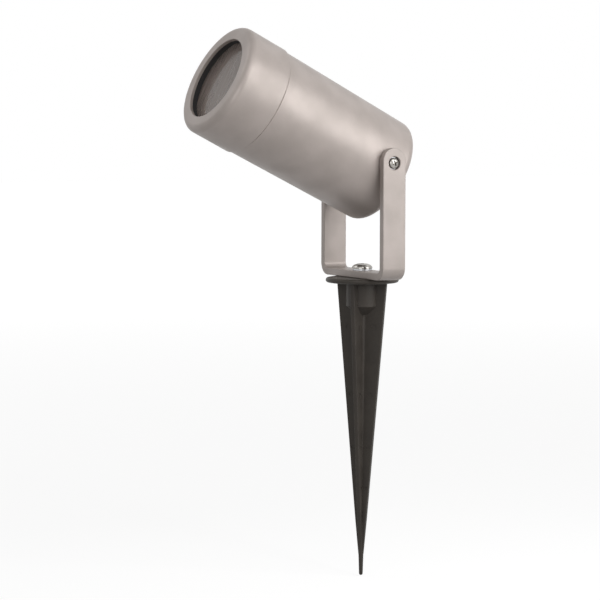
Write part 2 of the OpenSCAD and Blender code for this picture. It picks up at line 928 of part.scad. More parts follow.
module gland_body() {
    color(black)
        aim()
            difference() {
                union() {
                    translate([0, 0, hex_back_z])
                        hex_nut(gland_hex_w, gland_hex_t, over);
                    translate([0, 0, hex_back_z + over])
                        cylinder(r = gland_r, h = thread_end_z - hex_back_z);
                    translate([0, 0, mouth_z])
                        cylinder(r = mouth_r, h = gland_mouth + over);
                }
                translate([0, 0, mouth_z - 1])
                    cylinder(r = cable_r + 1, h = thread_end_z - mouth_z + 3);
                translate([0, 0, mouth_z - 1])
                    cylinder(r = seal_r, h = seal_front_z - mouth_z + 1);
            }
}

module gland_locknut() {
    color(black)
        aim()
            translate([0, 0, floor_z])
                hex_nut(2 * (gland_r + locknut_step), locknut_t, gland_r);
}

module gland_seal() {
    color([0.24, 0.23, 0.22])
        aim()
            rotate_extrude()
                difference() {
                    band(cable_r, seal_r, seal_back_z, seal_front_z);
                    translate([seal_r, seal_back_z])
                        corner_mask(seal_proud, 1, -1);
                }
}

module gland_cap() {
    cap_land = 2;
    cap_lip = 0.6;
    color(black)
        aim()
            difference() {
                rotate_extrude()
                    difference() {
                        band(0, cap_r, cap_back_z, cap_front_z);
                        translate([cap_r, cap_back_z])
                            corner_mask(cap_r - cable_r - cap_land, 1, -1);
                        band(0, cable_r + cap_lip, cap_back_z - 1, cap_front_z + 1);
                        band(0, cap_bore_r, mouth_z - cap_lip, cap_front_z + 1);
                    }
                // Flats for the spanner
                for (turn = [0 : 60 : 300])
                    rotate([0, 0, turn])
                        translate([cap_r - cap_flat_cut, -cap_r, cap_front_z - cap_flat_len])
                            cube([2 * cap_flat_cut, 2 * cap_r, cap_flat_len + over]);
            }
}

ground_spike();
spike_nut();
base_screw();
base_lock_washer();
yoke_bracket();
friction_washers();
pivot_screws();
pivot_lock_washers();
head_housing();
neck_seal();
front_ring();
lens_gasket();
lens_glass();
lamp_body();
lamp_lens();
lamp_base();
lamp_pins();
lamp_holder();
holder_contacts();
holder_bracket();
holder_screws();
bracket_screws();
terminal_block();
block_screw();
terminal_screws();
holder_leads();
earth_screw();
gland_washer();
gland_body();
gland_locknut();
gland_seal();
gland_cap();
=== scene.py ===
import json
import math

import bmesh
import bpy
from mathutils import Matrix, Vector


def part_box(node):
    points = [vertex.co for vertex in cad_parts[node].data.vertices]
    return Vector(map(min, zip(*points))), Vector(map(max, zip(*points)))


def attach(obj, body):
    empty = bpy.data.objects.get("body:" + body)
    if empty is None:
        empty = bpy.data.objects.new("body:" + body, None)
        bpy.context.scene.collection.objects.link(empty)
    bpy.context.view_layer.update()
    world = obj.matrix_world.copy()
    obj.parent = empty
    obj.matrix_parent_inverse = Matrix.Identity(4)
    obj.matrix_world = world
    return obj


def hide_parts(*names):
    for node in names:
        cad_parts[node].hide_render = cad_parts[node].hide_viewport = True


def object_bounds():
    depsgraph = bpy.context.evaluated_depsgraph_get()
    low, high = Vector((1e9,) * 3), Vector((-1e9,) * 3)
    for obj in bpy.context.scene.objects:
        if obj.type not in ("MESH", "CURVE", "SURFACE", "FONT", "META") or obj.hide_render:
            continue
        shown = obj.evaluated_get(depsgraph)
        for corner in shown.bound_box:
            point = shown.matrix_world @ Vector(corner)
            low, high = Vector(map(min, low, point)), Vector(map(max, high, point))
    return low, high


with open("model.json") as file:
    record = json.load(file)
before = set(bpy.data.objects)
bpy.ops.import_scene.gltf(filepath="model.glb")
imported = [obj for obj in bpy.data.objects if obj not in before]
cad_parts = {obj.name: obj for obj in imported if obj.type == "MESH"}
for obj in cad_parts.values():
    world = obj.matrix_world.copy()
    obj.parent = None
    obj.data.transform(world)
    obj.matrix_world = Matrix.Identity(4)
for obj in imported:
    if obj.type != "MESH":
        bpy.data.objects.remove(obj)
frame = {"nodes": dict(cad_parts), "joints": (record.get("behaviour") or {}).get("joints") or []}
size_of_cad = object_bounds()

# Camera, floor and studio light.
# The camera stands low on the +X side, a little in front of the spotlight, about 1.26 m away. The
# floor lies under the spike's point. Five soft panels stand round the part, the weakest behind it.
camera_place = Vector((1.08403, -0.63375, 0.08961))
camera_azimuth = math.radians(61.30)
camera_height_angle = math.radians(4.549)
camera_roll = math.radians(0.138)
lens_mm = 132.82
sensor_mm = 36.0
floor_gap = 0.0006
floor_reach = 8
floor_grey = 0.3
glow_near = 0.3
glow_far = 2.0
glow_least = 0.86
world_fill = 0.06
studio_middle = Vector((0, -0.03, 0.06))


def camera_turn(azimuth, elevation, roll):
    """Rotation of a camera that looks down at an elevation, from an azimuth about Z."""
    back = Vector((
        math.sin(azimuth) * math.cos(elevation),
        -math.cos(azimuth) * math.cos(elevation),
        math.sin(elevation),
    ))
    side = Vector((math.cos(azimuth), math.sin(azimuth), 0))
    up = back.cross(side)
    right = side * math.cos(roll) + up * math.sin(roll)
    above = up * math.cos(roll) - side * math.sin(roll)
    return Matrix((right, above, back)).transposed()


camera_data = bpy.data.cameras.new("camera")
camera_data.lens = lens_mm
camera_data.sensor_width = sensor_mm
camera_data.clip_start = 0.01
camera_data.clip_end = 50
camera = bpy.data.objects.new("camera", camera_data)
turn = camera_turn(camera_azimuth, camera_height_angle, camera_roll)
camera.matrix_world = Matrix.Translation(camera_place) @ turn.to_4x4()
bpy.context.scene.collection.objects.link(camera)
bpy.context.scene.camera = camera
bpy.context.scene.view_settings.view_transform = "Standard"


def link_object(name, mesh):
    """Puts a mesh into the scene as an object at the origin."""
    piece = bpy.data.objects.new(name, mesh)
    bpy.context.scene.collection.objects.link(piece)
    return piece


def mesh_of(name, points, faces):
    """Mesh from points and faces, its doubles merged and its faces turned outwards."""
    mesh = bpy.data.meshes.new(name)
    mesh.from_pydata([tuple(p) for p in points], [], faces)
    shell = bmesh.new()
    shell.from_mesh(mesh)
    bmesh.ops.remove_doubles(shell, verts=shell.verts, dist=1e-7)
    bmesh.ops.dissolve_degenerate(shell, edges=shell.edges, dist=1e-8)
    loose = [edge for edge in shell.edges if edge.is_wire]
    bmesh.ops.delete(shell, geom=loose, context="EDGES")
    bmesh.ops.recalc_face_normals(shell, faces=shell.faces)
    shell.to_mesh(mesh)
    shell.free()
    return mesh


def seen_rays(nodes, links):
    """Socket that is one for camera, glossy and transmission rays, and nought for the rest."""
    rays = nodes.new("ShaderNodeLightPath")
    either = nodes.new("ShaderNodeMath")
    either.operation = "MAXIMUM"
    links.new(rays.outputs["Is Camera Ray"], either.inputs[0])
    links.new(rays.outputs["Is Glossy Ray"], either.inputs[1])
    each = nodes.new("ShaderNodeMath")
    each.operation = "MAXIMUM"
    links.new(either.outputs[0], each.inputs[0])
    links.new(rays.outputs["Is Transmission Ray"], each.inputs[1])
    return each.outputs[0]


def studio_floor(level, reach):
    """Pale floor that keeps the object's shadow and grows fully white with distance."""
    corners = [(-reach, -reach, level), (reach, -reach, level), (reach, reach, level), (-reach, reach, level)]
    floor = link_object("floor", mesh_of("floor", corners, [(0, 1, 2, 3)]))
    material = bpy.data.materials.new("pale floor")
    material.use_nodes = True
    nodes = material.node_tree.nodes
    links = material.node_tree.links
    nodes.clear()
    direct = seen_rays(nodes, links)
    shade = nodes.new("ShaderNodeBsdfDiffuse")
    shade.inputs["Color"].default_value = (floor_grey, floor_grey, floor_grey, 1)
    glow = nodes.new("ShaderNodeEmission")
    glow.inputs["Color"].default_value = (1, 1, 1, 1)
    here = nodes.new("ShaderNodeTexCoord")
    away = nodes.new("ShaderNodeVectorMath")
    away.operation = "LENGTH"
    links.new(here.outputs["Object"], away.inputs[0])
    fade = nodes.new("ShaderNodeMapRange")
    fade.inputs["From Min"].default_value = glow_near
    fade.inputs["From Max"].default_value = glow_far
    fade.inputs["To Min"].default_value = glow_least
    fade.inputs["To Max"].default_value = 1.0
    links.new(away.outputs["Value"], fade.inputs["Value"])
    links.new(fade.outputs["Result"], glow.inputs["Strength"])
    dark = nodes.new("ShaderNodeEmission")
    dark.inputs["Strength"].default_value = 0
    pick = nodes.new("ShaderNodeMixShader")
    links.new(direct, pick.inputs[0])
    links.new(dark.outputs[0], pick.inputs[1])
    links.new(glow.outputs[0], pick.inputs[2])
    both = nodes.new("ShaderNodeAddShader")
    links.new(shade.outputs[0], both.inputs[0])
    links.new(pick.outputs[0], both.inputs[1])
    out = nodes.new("ShaderNodeOutputMaterial")
    links.new(both.outputs[0], out.inputs["Surface"])
    floor.data.materials.append(material)


def studio_world(strength):
    """World that is white to the eye, in metal and through glass, and a soft grey fill for the rest."""
    world = bpy.data.worlds.new("studio")
    world.use_nodes = True
    nodes = world.node_tree.nodes
    links = world.node_tree.links
    nodes.clear()
    direct = seen_rays(nodes, links)
    fill = nodes.new("ShaderNodeBackground")
    fill.inputs["Color"].default_value = (1, 0.99, 0.975, 1)
    fill.inputs["Strength"].default_value = strength
    white = nodes.new("ShaderNodeBackground")
    white.inputs["Color"].default_value = (1, 1, 1, 1)
    white.inputs["Strength"].default_value = 1
    pick = nodes.new("ShaderNodeMixShader")
    links.new(direct, pick.inputs[0])
    links.new(fill.outputs[0], pick.inputs[1])
    links.new(white.outputs[0], pick.inputs[2])
    out = nodes.new("ShaderNodeOutputWorld")
    links.new(pick.outputs[0], out.inputs["Surface"])
    bpy.context.scene.world = world


def soft_panel(name, place, width, height, watts):
    """Rectangular lamp that faces the middle of the studio."""
    data = bpy.data.lights.new(name, "AREA")
    data.shape = "RECTANGLE"
    data.size = width
    data.size_y = height
    data.energy = watts
    lamp = bpy.data.objects.new(name, data)
    facing = (studio_middle - Vector(place)).to_track_quat("-Z", "Y")
    lamp.matrix_world = Matrix.Translation(Vector(place)) @ facing.to_matrix().to_4x4()
    bpy.context.scene.collection.objects.link(lamp)


studio_floor(size_of_cad[0][2] - floor_gap, floor_reach)
studio_world(world_fill)
soft_panel("key_panel", (0.666, -0.09, 0.66), width=0.5, height=0.5, watts=1.45)
soft_panel("side_panel", (0.426, 0.197, 0.19), width=0.42, height=0.38, watts=1.5)
soft_panel("front_panel", (0.70, -0.865, 0.215), width=0.5, height=0.5, watts=1.6)
soft_panel("left_panel", (-0.64, -0.79, 0.90), width=0.8, height=0.8, watts=1.8)
soft_panel("back_panel", (-0.135, 0.74, 0.84), width=0.5, height=0.5, watts=0.3)

# Ground spike.
# One black plastic moulding: a round flange, a boss that holds the nut, and four fins that taper
# into a round neck and point. Its faces carry the shallow marks of the mould's ejector pins.
flange_radius = 0.0208
flange_thick = 0.0028
spike_depth = 0.1686
fin_turn = math.radians(37)
fin_reach = 0.0151
fin_reach_low = 0.0015
fin_half = 0.0012
fin_half_low = 0.0006
fins_thin = 0.135
fins_end = 0.1563
fin_corner = 0.00035
fin_spare = 0.45
fillet_least = 0.00002
boss_least = 0.0024
boss_fade = 0.0015
point_neck = 0.00142
point_radius = 0.00108
point_step = 0.0002
root_round = 0.0006
nut_apothem = 0.0051
nut_floor = -0.0024
nut_chamfer = 0.0002
screw_hole = 0.0031
screw_hole_floor = -0.0097
corner_steps = 3
face_steps = 5
fillet_steps = 4
rim_steps = 8
root_steps = 4
fin_steps = 14
point_steps = 6
mark_depths = (0.15, 0.38, 0.56, 0.7)
mark_at = 0.6
mark_radius = 0.0015
mark_top = 1.15
mark_loss = 0.6
mark_depth = 0.00025
core_profile = [
    (0, 0.0091), (-0.01325, 0.0091), (-0.0135, 0.00902), (-0.0137, 0.0087), (-0.0184, 0.0029),
    (-0.0188, 0.0025), (-0.0192, 0.00239), (-fins_end, point_neck),
]


def core_radius(height):
    """Radius of the boss, its cone and the core below, from the profile's heights and radii."""
    for (high, wide), (low, narrow) in zip(core_profile, core_profile[1:]):
        if height >= low:
            return wide + (narrow - wide) * (high - height) / (high - low)
    return core_profile[-1][1]


def fin_row(height, swell=0.0):
    """Outline of the four fins and the core at a height, as a row of points."""
    reach = fin_reach + (fin_reach_low - fin_reach) * min(-height, fins_end) / fins_end + swell
    thinning = min(max((-height - fins_thin) / (fins_end - fins_thin), 0), 1)
    half = fin_half + (fin_half_low - fin_half) * thinning + swell
    spare = fin_spare * (reach - half)
    corner = min(fin_corner, spare)
    core = core_radius(height) + swell
    fillet = max(min((core - math.sqrt(2) * half) / (math.sqrt(2) - 1), spare), fillet_least)
    boss_share = min(max((core - swell - boss_least) / boss_fade, thinning), 1)
    boss_start = math.asin(min(half / core, math.sqrt(0.5)))
    tip_x = reach - corner
    points = [Vector((reach, 0))]
    for step in range(corner_steps + 1):
        angle = math.radians(90 * step / corner_steps)
        points.append(Vector((tip_x + corner * math.cos(angle), half - corner + corner * math.sin(angle))))
    hollow = half + fillet
    root_x = hollow + (core * math.cos(boss_start) - hollow) * boss_share
    for step in range(1, face_steps):
        points.append(Vector((tip_x + (root_x - tip_x) * step / face_steps, half)))
    for step in range(fillet_steps + 1):
        angle = math.radians(-90 - 45 * step / fillet_steps)
        concave = Vector((hollow + fillet * math.cos(angle), hollow + fillet * math.sin(angle)))
        angle = boss_start + (math.radians(45) - boss_start) * step / fillet_steps
        convex = Vector((core * math.cos(angle), core * math.sin(angle)))
        points.append(concave.lerp(convex, boss_share))
    quarter = points + [Vector((p.y, p.x)) for p in reversed(points[1:-1])]
    row = []
    for side in range(4):
        turn = Matrix.Rotation(fin_turn + side * math.pi / 2, 2)
        row += [(*(turn @ p), height) for p in quarter]
    return row


spike_columns = len(fin_row(0))


def round_row(radius, height, flats=0):
    """Row of points on a circle, or on a hexagon where flats is six."""
    row = []
    for column in range(spike_columns):
        angle = fin_turn + 2 * math.pi * column / spike_columns
        reach = radius
        if flats:
            reach = radius / math.cos(angle % (math.pi / 3) - math.pi / 6)
        row.append((reach * math.cos(angle), reach * math.sin(angle), height))
    return row


def skin(name, rows):
    """Mesh over rows of points that each run once round the piece."""
    columns = len(rows[0])
    faces = []
    for row in range(len(rows) - 1):
        for column in range(columns):
            after = (column + 1) % columns
            here = row * columns
            faces.append((here + column, here + after, here + columns + after, here + columns + column))
    return mesh_of(name, [point for row in rows for point in row], faces)


def soften(piece, angle=35):
    """Smooth shading that keeps the sharper edges, with flat faces left flat."""
    piece.data.polygons.foreach_set("use_smooth", [True] * len(piece.data.polygons))
    piece.data.set_sharp_from_angle(angle=math.radians(angle))
    weighted = piece.modifiers.new("flat faces stay flat", "WEIGHTED_NORMAL")
    weighted.keep_sharp = True


def finish(name, tones, metal, rough, grain, relief, constants=None, patch=70):
    """Shader whose colour and gloss drift between two values over patches, with a fine raised grain."""
    low_end, high_end = 0.35, 0.65
    material = bpy.data.materials.new(name)
    material.use_nodes = True
    nodes = material.node_tree.nodes
    links = material.node_tree.links
    shader = nodes["Principled BSDF"]
    shader.inputs["Metallic"].default_value = metal
    for socket, value in (constants or {}).items():
        shader.inputs[socket].default_value = value
    place = nodes.new("ShaderNodeTexCoord")
    cloud = nodes.new("ShaderNodeTexNoise")
    cloud.inputs["Scale"].default_value = patch
    cloud.inputs["Detail"].default_value = 4
    links.new(place.outputs["Object"], cloud.inputs["Vector"])
    ramp = nodes.new("ShaderNodeValToRGB")
    for stop, at, tone in zip(ramp.color_ramp.elements, (low_end, high_end), tones):
        stop.position = at
        stop.color = (*tone, 1)
    links.new(cloud.outputs["Fac"], ramp.inputs["Fac"])
    links.new(ramp.outputs["Color"], shader.inputs["Base Color"])
    gloss = nodes.new("ShaderNodeMapRange")
    gloss.inputs["From Min"].default_value = low_end
    gloss.inputs["From Max"].default_value = high_end
    gloss.inputs["To Min"].default_value = rough[0]
    gloss.inputs["To Max"].default_value = rough[1]
    links.new(cloud.outputs["Fac"], gloss.inputs["Value"])
    links.new(gloss.outputs["Result"], shader.inputs["Roughness"])
    fine = nodes.new("ShaderNodeTexNoise")
    fine.inputs["Scale"].default_value = 1 / grain
    fine.inputs["Detail"].default_value = 2
    links.new(place.outputs["Object"], fine.inputs["Vector"])
    bump = nodes.new("ShaderNodeBump")
    bump.inputs["Strength"].default_value = 1
    bump.inputs["Distance"].default_value = relief
    links.new(fine.outputs["Fac"], bump.inputs["Height"])
    links.new(bump.outputs["Normal"], shader.inputs["Normal"])
    return material


def new_tree(name, inputs):
    """Empty geometry tree with named inputs, each given as a socket type."""
    tree = bpy.data.node_groups.new(name, "GeometryNodeTree")
    tree.interface.new_socket("Geometry", in_out="INPUT", socket_type="NodeSocketGeometry")
    for label, kind in inputs.items():
        tree.interface.new_socket(label, in_out="INPUT", socket_type=kind)
    tree.interface.new_socket("Geometry", in_out="OUTPUT", socket_type="NodeSocketGeometry")
    return tree, tree.nodes.new("NodeGroupInput"), tree.nodes.new("NodeGroupOutput")


def close_tree(tree, last, given, out):
    """Ends a tree with plain geometry that carries the piece's material."""
    real = tree.nodes.new("GeometryNodeRealizeInstances")
    coat = tree.nodes.new("GeometryNodeSetMaterial")
    tree.links.new(last, real.inputs["Geometry"])
    tree.links.new(real.outputs["Geometry"], coat.inputs["Geometry"])
    tree.links.new(given.outputs["Material"], coat.inputs["Material"])
    tree.links.new(coat.outputs["Geometry"], out.inputs["Geometry"])


def grow(piece, tree, values):
    """Runs a tree on a piece and keeps the result as the piece's plain mesh."""
    modifier = piece.modifiers.new(tree.name, "NODES")
    modifier.node_group = tree
    for item in tree.interface.items_tree:
        if item.in_out == "INPUT" and item.name in values:
            modifier[item.identifier] = values[item.name]
    seen = piece.evaluated_get(bpy.context.evaluated_depsgraph_get())
    grown = bpy.data.meshes.new_from_object(seen)
    piece.modifiers.remove(modifier)
    piece.data = grown


def places(name, spots):
    """Loose points for a tree: each spot is a place, the way it faces, its spin and its width."""
    mesh = bpy.data.meshes.new(name)
    mesh.from_pydata([tuple(spot[0]) for spot in spots], [], [])
    facing = mesh.attributes.new("facing", "FLOAT_VECTOR", "POINT")
    facing.data.foreach_set("vector", [c for spot in spots for c in spot[1]])
    spin = mesh.attributes.new("spin", "FLOAT", "POINT")
    spin.data.foreach_set("value", [spot[2] for spot in spots])
    width = mesh.attributes.new("width", "FLOAT", "POINT")
    width.data.foreach_set("value", [spot[3] for spot in spots])
    return link_object(name, mesh)


def read_attribute(tree, name, kind):
    """Node that reads a named attribute of the points."""
    reader = tree.nodes.new("GeometryNodeInputNamedAttribute")
    reader.data_type = kind
    reader.inputs["Name"].default_value = name
    return reader.outputs["Attribute"]


def stand_on_points(tree, points, shape):
    """Instances of a shape on points, turned to face their way and spun about it."""
    face = tree.nodes.new("FunctionNodeAlignRotationToVector")
    face.axis = "Z"
    tree.links.new(read_attribute(tree, "facing", "FLOAT_VECTOR"), face.inputs["Vector"])
    spin = tree.nodes.new("FunctionNodeAxisAngleToRotation")
    spin.inputs["Axis"].default_value = (0, 0, 1)
    tree.links.new(read_attribute(tree, "spin", "FLOAT"), spin.inputs["Angle"])
    turn = tree.nodes.new("FunctionNodeRotateRotation")
    turn.rotation_space = "LOCAL"
    tree.links.new(face.outputs["Rotation"], turn.inputs["Rotation"])
    tree.links.new(spin.outputs["Rotation"], turn.inputs["Rotate By"])
    stand = tree.nodes.new("GeometryNodeInstanceOnPoints")
    tree.links.new(points, stand.inputs["Points"])
    tree.links.new(shape, stand.inputs["Instance"])
    tree.links.new(turn.outputs["Rotation"], stand.inputs["Rotation"])
    return stand


def ejector_tree():
    """Tree that presses shallow round marks into a moulding at given points."""
    tree, given, out = new_tree("ejector marks", {
        "Marks": "NodeSocketObject",
        "Mark depth": "NodeSocketFloat",
        "Material": "NodeSocketMaterial",
    })
    marks = tree.nodes.new("GeometryNodeObjectInfo")
    tree.links.new(given.outputs["Marks"], marks.inputs["Object"])
    pin = tree.nodes.new("GeometryNodeMeshCylinder")
    pin.inputs["Vertices"].default_value = 32
    pin.inputs["Radius"].default_value = 1
    pin.inputs["Depth"].default_value = 2
    stand = stand_on_points(tree, marks.outputs["Geometry"], pin.outputs["Mesh"])
    size = tree.nodes.new("ShaderNodeCombineXYZ")
    width = read_attribute(tree, "width", "FLOAT")
    tree.links.new(width, size.inputs["X"])
    tree.links.new(width, size.inputs["Y"])
    tree.links.new(given.outputs["Mark depth"], size.inputs["Z"])
    tree.links.new(size.outputs["Vector"], stand.inputs["Scale"])
    real = tree.nodes.new("GeometryNodeRealizeInstances")
    tree.links.new(stand.outputs["Instances"], real.inputs["Geometry"])
    press = tree.nodes.new("GeometryNodeMeshBoolean")
    press.operation = "DIFFERENCE"
    press.solver = "EXACT"
    tree.links.new(given.outputs["Geometry"], press.inputs["Mesh 1"])
    tree.links.new(real.outputs["Geometry"], press.inputs["Mesh 2"])
    close_tree(tree, press.outputs["Mesh"], given, out)
    return tree


flange_edge = flange_thick / 2
spike_rows = [
    round_row(0, screw_hole_floor),
    round_row(screw_hole, screw_hole_floor),
    round_row(screw_hole, nut_floor),
    round_row(nut_apothem, nut_floor, flats=6),
    round_row(nut_apothem, flange_thick - nut_chamfer, flats=6),
    round_row(nut_apothem + nut_chamfer, flange_thick, flats=6),
]
for step in range(rim_steps + 1):
    angle = math.radians(90 - 180 * step / rim_steps)
    rim = flange_radius - flange_edge + flange_edge * math.cos(angle)
    spike_rows.append(round_row(rim, flange_edge + flange_edge * math.sin(angle)))
for step in range(root_steps + 1):
    angle = math.radians(90 * step / root_steps)
    depth = root_round * math.sin(angle)
    side = root_round * math.cos(angle)
    spike_rows.append(fin_row(-(root_round - side), root_round - depth))
spike_rows += [fin_row(height) for height, radius in core_profile[1:-1]]
core_top = core_profile[-2][0]
for step in range(1, fin_steps + 1):
    spike_rows.append(fin_row(core_top + (point_step - fins_end - core_top) * step / fin_steps))
spike_rows.append(round_row(point_neck, -fins_end - point_step))
for step in range(point_steps + 1):
    angle = math.radians(90 * step / point_steps)
    height = point_radius - spike_depth - point_radius * math.sin(angle)
    spike_rows.append(round_row(point_radius * math.cos(angle), height))

spike_black = finish(
    "black moulding", ((0.058, 0.050, 0.043), (0.078, 0.068, 0.058)), metal=0, rough=(0.45, 0.55),
    grain=0.0004, relief=0.00001, constants={"Specular IOR Level": 0.25},
)
marks = []
for depth in mark_depths:
    out_there = (fin_reach + (fin_reach_low - fin_reach) * depth) * mark_at
    for quarter in range(4):
        turn = Matrix.Rotation(fin_turn + quarter * math.pi / 2, 3, "Z")
        for face in (-1, 1):
            spot = turn @ Vector((out_there, face * fin_half, -depth * spike_depth))
            marks.append((spot, turn @ Vector((0, face, 0)), 0, mark_radius * (mark_top - depth * mark_loss)))
mark_points = places("mark points", marks)
spike = link_object("spike_moulding", skin("spike_moulding", spike_rows))
grow(spike, ejector_tree(), {"Marks": mark_points, "Mark depth": mark_depth, "Material": spike_black})
bpy.data.objects.remove(mark_points)
soften(spike)
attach(spike, "spike")
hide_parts("ground_spike")

# Swivel screw, its lock washer and the nut in the spike.
# A bright steel pan head with a cross recess, turned into a hexagon nut that sits in the boss.
# The yoke swivels on it, and the spring washer under the head keeps it where it is set.
swivel_head = 0.00585
swivel_height = 0.0031
swivel_shank = 0.003
swivel_length = 0.016
swivel_spin = math.radians(61)


def rounded(corners, steps=5):
    """Closed outline through corners of (radius, height, rounding)."""
    outline = []
    for index, corner in enumerate(corners):
        here = Vector(corner[:2])
        if len(corner) < 3:
            outline.append(tuple(here))
            continue
        before = (Vector(corners[index - 1][:2]) - here).normalized()
        after = (Vector(corners[(index + 1) % len(corners)][:2]) - here).normalized()
        half = before.angle(after) / 2
        middle = here + (before + after).normalized() * corner[2] / math.sin(half)
        first = here + before * corner[2] / math.tan(half) - middle
        last = here + after * corner[2] / math.tan(half) - middle
        sweep = math.atan2(first.x * last.y - first.y * last.x, first.dot(last))
        for step in range(steps + 1):
            outline.append(tuple(middle + Matrix.Rotation(sweep * step / steps, 2) @ first))
    return outline


def lathe(name, outline, around):
    """Mesh of a closed outline of (radius, height) turned about Z."""
    turns = [2 * math.pi * step / around for step in range(around)]
    rows = [[(r * math.cos(t), r * math.sin(t), z) for t in turns] for r, z in outline + outline[:1]]
    return skin(name, rows)


def combine(piece, other, operation):
    """Cuts a second object out of a piece, or joins it on, and removes the second object."""
    modifier = piece.modifiers.new(operation, "BOOLEAN")
    modifier.operation = operation
    modifier.solver = "EXACT"
    modifier.use_self = True
    modifier.object = other
    seen = piece.evaluated_get(bpy.context.evaluated_depsgraph_get())
    mesh = bpy.data.meshes.new_from_object(seen)
    piece.modifiers.remove(modifier)
    piece.data = mesh
    bpy.data.objects.remove(other)


def cross_screw(name, radius, height, shank, length):
    """Screw that stands on z = 0: domed pan head with a tapered cross recess, and its shank."""
    tip_chamfer, seat_chamfer, neck = 0.0004, 0.0002, 0.0001
    rim_share, dome_power, dome_steps = 0.14, 0.9, 12
    wing, web = 0.54 * radius, 0.1 * radius
    heart = 1.6 * web
    recess_steps = ((0, 0.1), (1.08, 0.1), (1, 0), (0.62, -0.62), (0.2, -0.72), (0, -0.72))
    outline = [(0, -length), (shank - tip_chamfer, -length), (shank, -length + tip_chamfer)]
    outline += [(shank, -neck), (shank, 0), (radius - seat_chamfer, 0), (radius, seat_chamfer)]
    for step in range(dome_steps + 1):
        angle = math.radians(90 * step / dome_steps)
        bulge = math.cos(angle) ** dome_power if step < dome_steps else 0
        outline.append((radius * bulge, height * (rim_share + (1 - rim_share) * math.sin(angle))))
    screw = link_object(name, lathe(name, outline, around=64))
    cross = []
    for quarter in range(4):
        spin = Matrix.Rotation(quarter * math.pi / 2, 2)
        cross += [spin @ Vector(p) for p in ((wing, -web), (wing, web), (heart, heart))]
    rows = []
    for shrink, above in recess_steps:
        rows.append([(*(p * shrink), height * (1 + above)) for p in cross])
    combine(screw, link_object("recess", skin("recess", rows)), "DIFFERENCE")
    return screw


def screw_tree():
    """Tree that stands one screw on each point."""
    tree, given, out = new_tree("screws in place", {
        "Screw": "NodeSocketObject",
        "Material": "NodeSocketMaterial",
    })
    screw = tree.nodes.new("GeometryNodeObjectInfo")
    tree.links.new(given.outputs["Screw"], screw.inputs["Object"])
    stand = stand_on_points(tree, given.outputs["Geometry"], screw.outputs["Geometry"])
    close_tree(tree, stand.outputs["Instances"], given, out)
    return tree


screws_in_place = screw_tree()


def set_screws(name, screw, spots, material):
    """Piece with a copy of a screw at each spot."""
    piece = places(name, spots)
    grow(piece, screws_in_place, {"Screw": screw, "Material": material})
    bpy.data.objects.remove(screw)
    soften(piece, angle=40)
    return piece


def dress(material, *node_names):
    """Gives nodes of the frame their finish."""
    for node_name in node_names:
        frame["nodes"][node_name].material_slots[0].material = material


bright_steel = finish(
    "bright steel", ((0.40, 0.385, 0.36), (0.31, 0.295, 0.275)), metal=1, rough=(0.16, 0.26),
    grain=0.0002, relief=0.000004, patch=400,
)
zinc_steel = finish(
    "zinc plated steel", ((0.56, 0.57, 0.59), (0.48, 0.49, 0.50)), metal=1, rough=(0.30, 0.42),
    grain=0.0002, relief=0.000004, patch=300,
)
swivel_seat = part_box("base_lock_washer")[1][2]
swivel = set_screws(
    "swivel_screw",
    cross_screw("one swivel screw", swivel_head, swivel_height, swivel_shank, swivel_length),
    [(Vector((0, 0, swivel_seat)), Vector((0, 0, 1)), swivel_spin, 1)],
    bright_steel,
)
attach(swivel, "spike")
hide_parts("base_screw")
dress(zinc_steel, "base_lock_washer", "spike_nut")

# Yoke.
# One aluminium strip bent to a U, its two ends rounded about the tilt screws, coated warm grey, drawn darker
# than the housing's coat as painted shade.
# Each end has a through hole with a wide recess, in which the screw's head sits.
strip_width = 0.0145
strip_thick = 0.004
bend_inside = 0.003
leg_top_up = 0.0012
pivot_hole = 0.00215
pivot_recess = 0.0037
pivot_recess_depth = 0.0024
pivot_recess_edge = 0.0003
pivot_cut_over = 0.001
pivot_cut_depth = 0.006
swivel_hole = 0.00315
swivel_cut_half = 0.004
edge_round = 0.0005
edge_steps = 4
leg_steps = 8
bend_steps = 12
base_steps = 4
coat_metal = 0.26
coat_rough = (0.40, 0.47)
coat_grain = 0.0007
tilt_joint = next(joint for joint in frame["joints"] if joint["name"] == "head_tilt")
pivot_up = tilt_joint["pos_m"][2]
yoke_low, yoke_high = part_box("yoke_bracket")
leg_mid = yoke_high[0] - strip_thick / 2
base_mid = yoke_low[2] + strip_thick / 2
bend_mid = bend_inside + strip_thick / 2
leg_run = pivot_up + leg_top_up - base_mid - bend_mid
bend_run = bend_mid * math.pi / 2
base_run = leg_mid - bend_mid


def along_yoke(run, across, lift):
    """Place on the bent strip: run from the middle of the base, across it, and lift off its middle."""
    side = 1 if run >= 0 else -1
    rest = abs(run)
    if rest <= base_run:
        return (side * rest, across, base_mid + lift)
    rest -= base_run
    if rest <= bend_run:
        angle = rest / bend_mid
        reach = bend_mid - lift
        out_there = side * (base_run + reach * math.sin(angle))
        return (out_there, across, base_mid + bend_mid - reach * math.cos(angle))
    rest -= bend_run
    return (side * (leg_mid - lift), across, base_mid + bend_mid + rest)


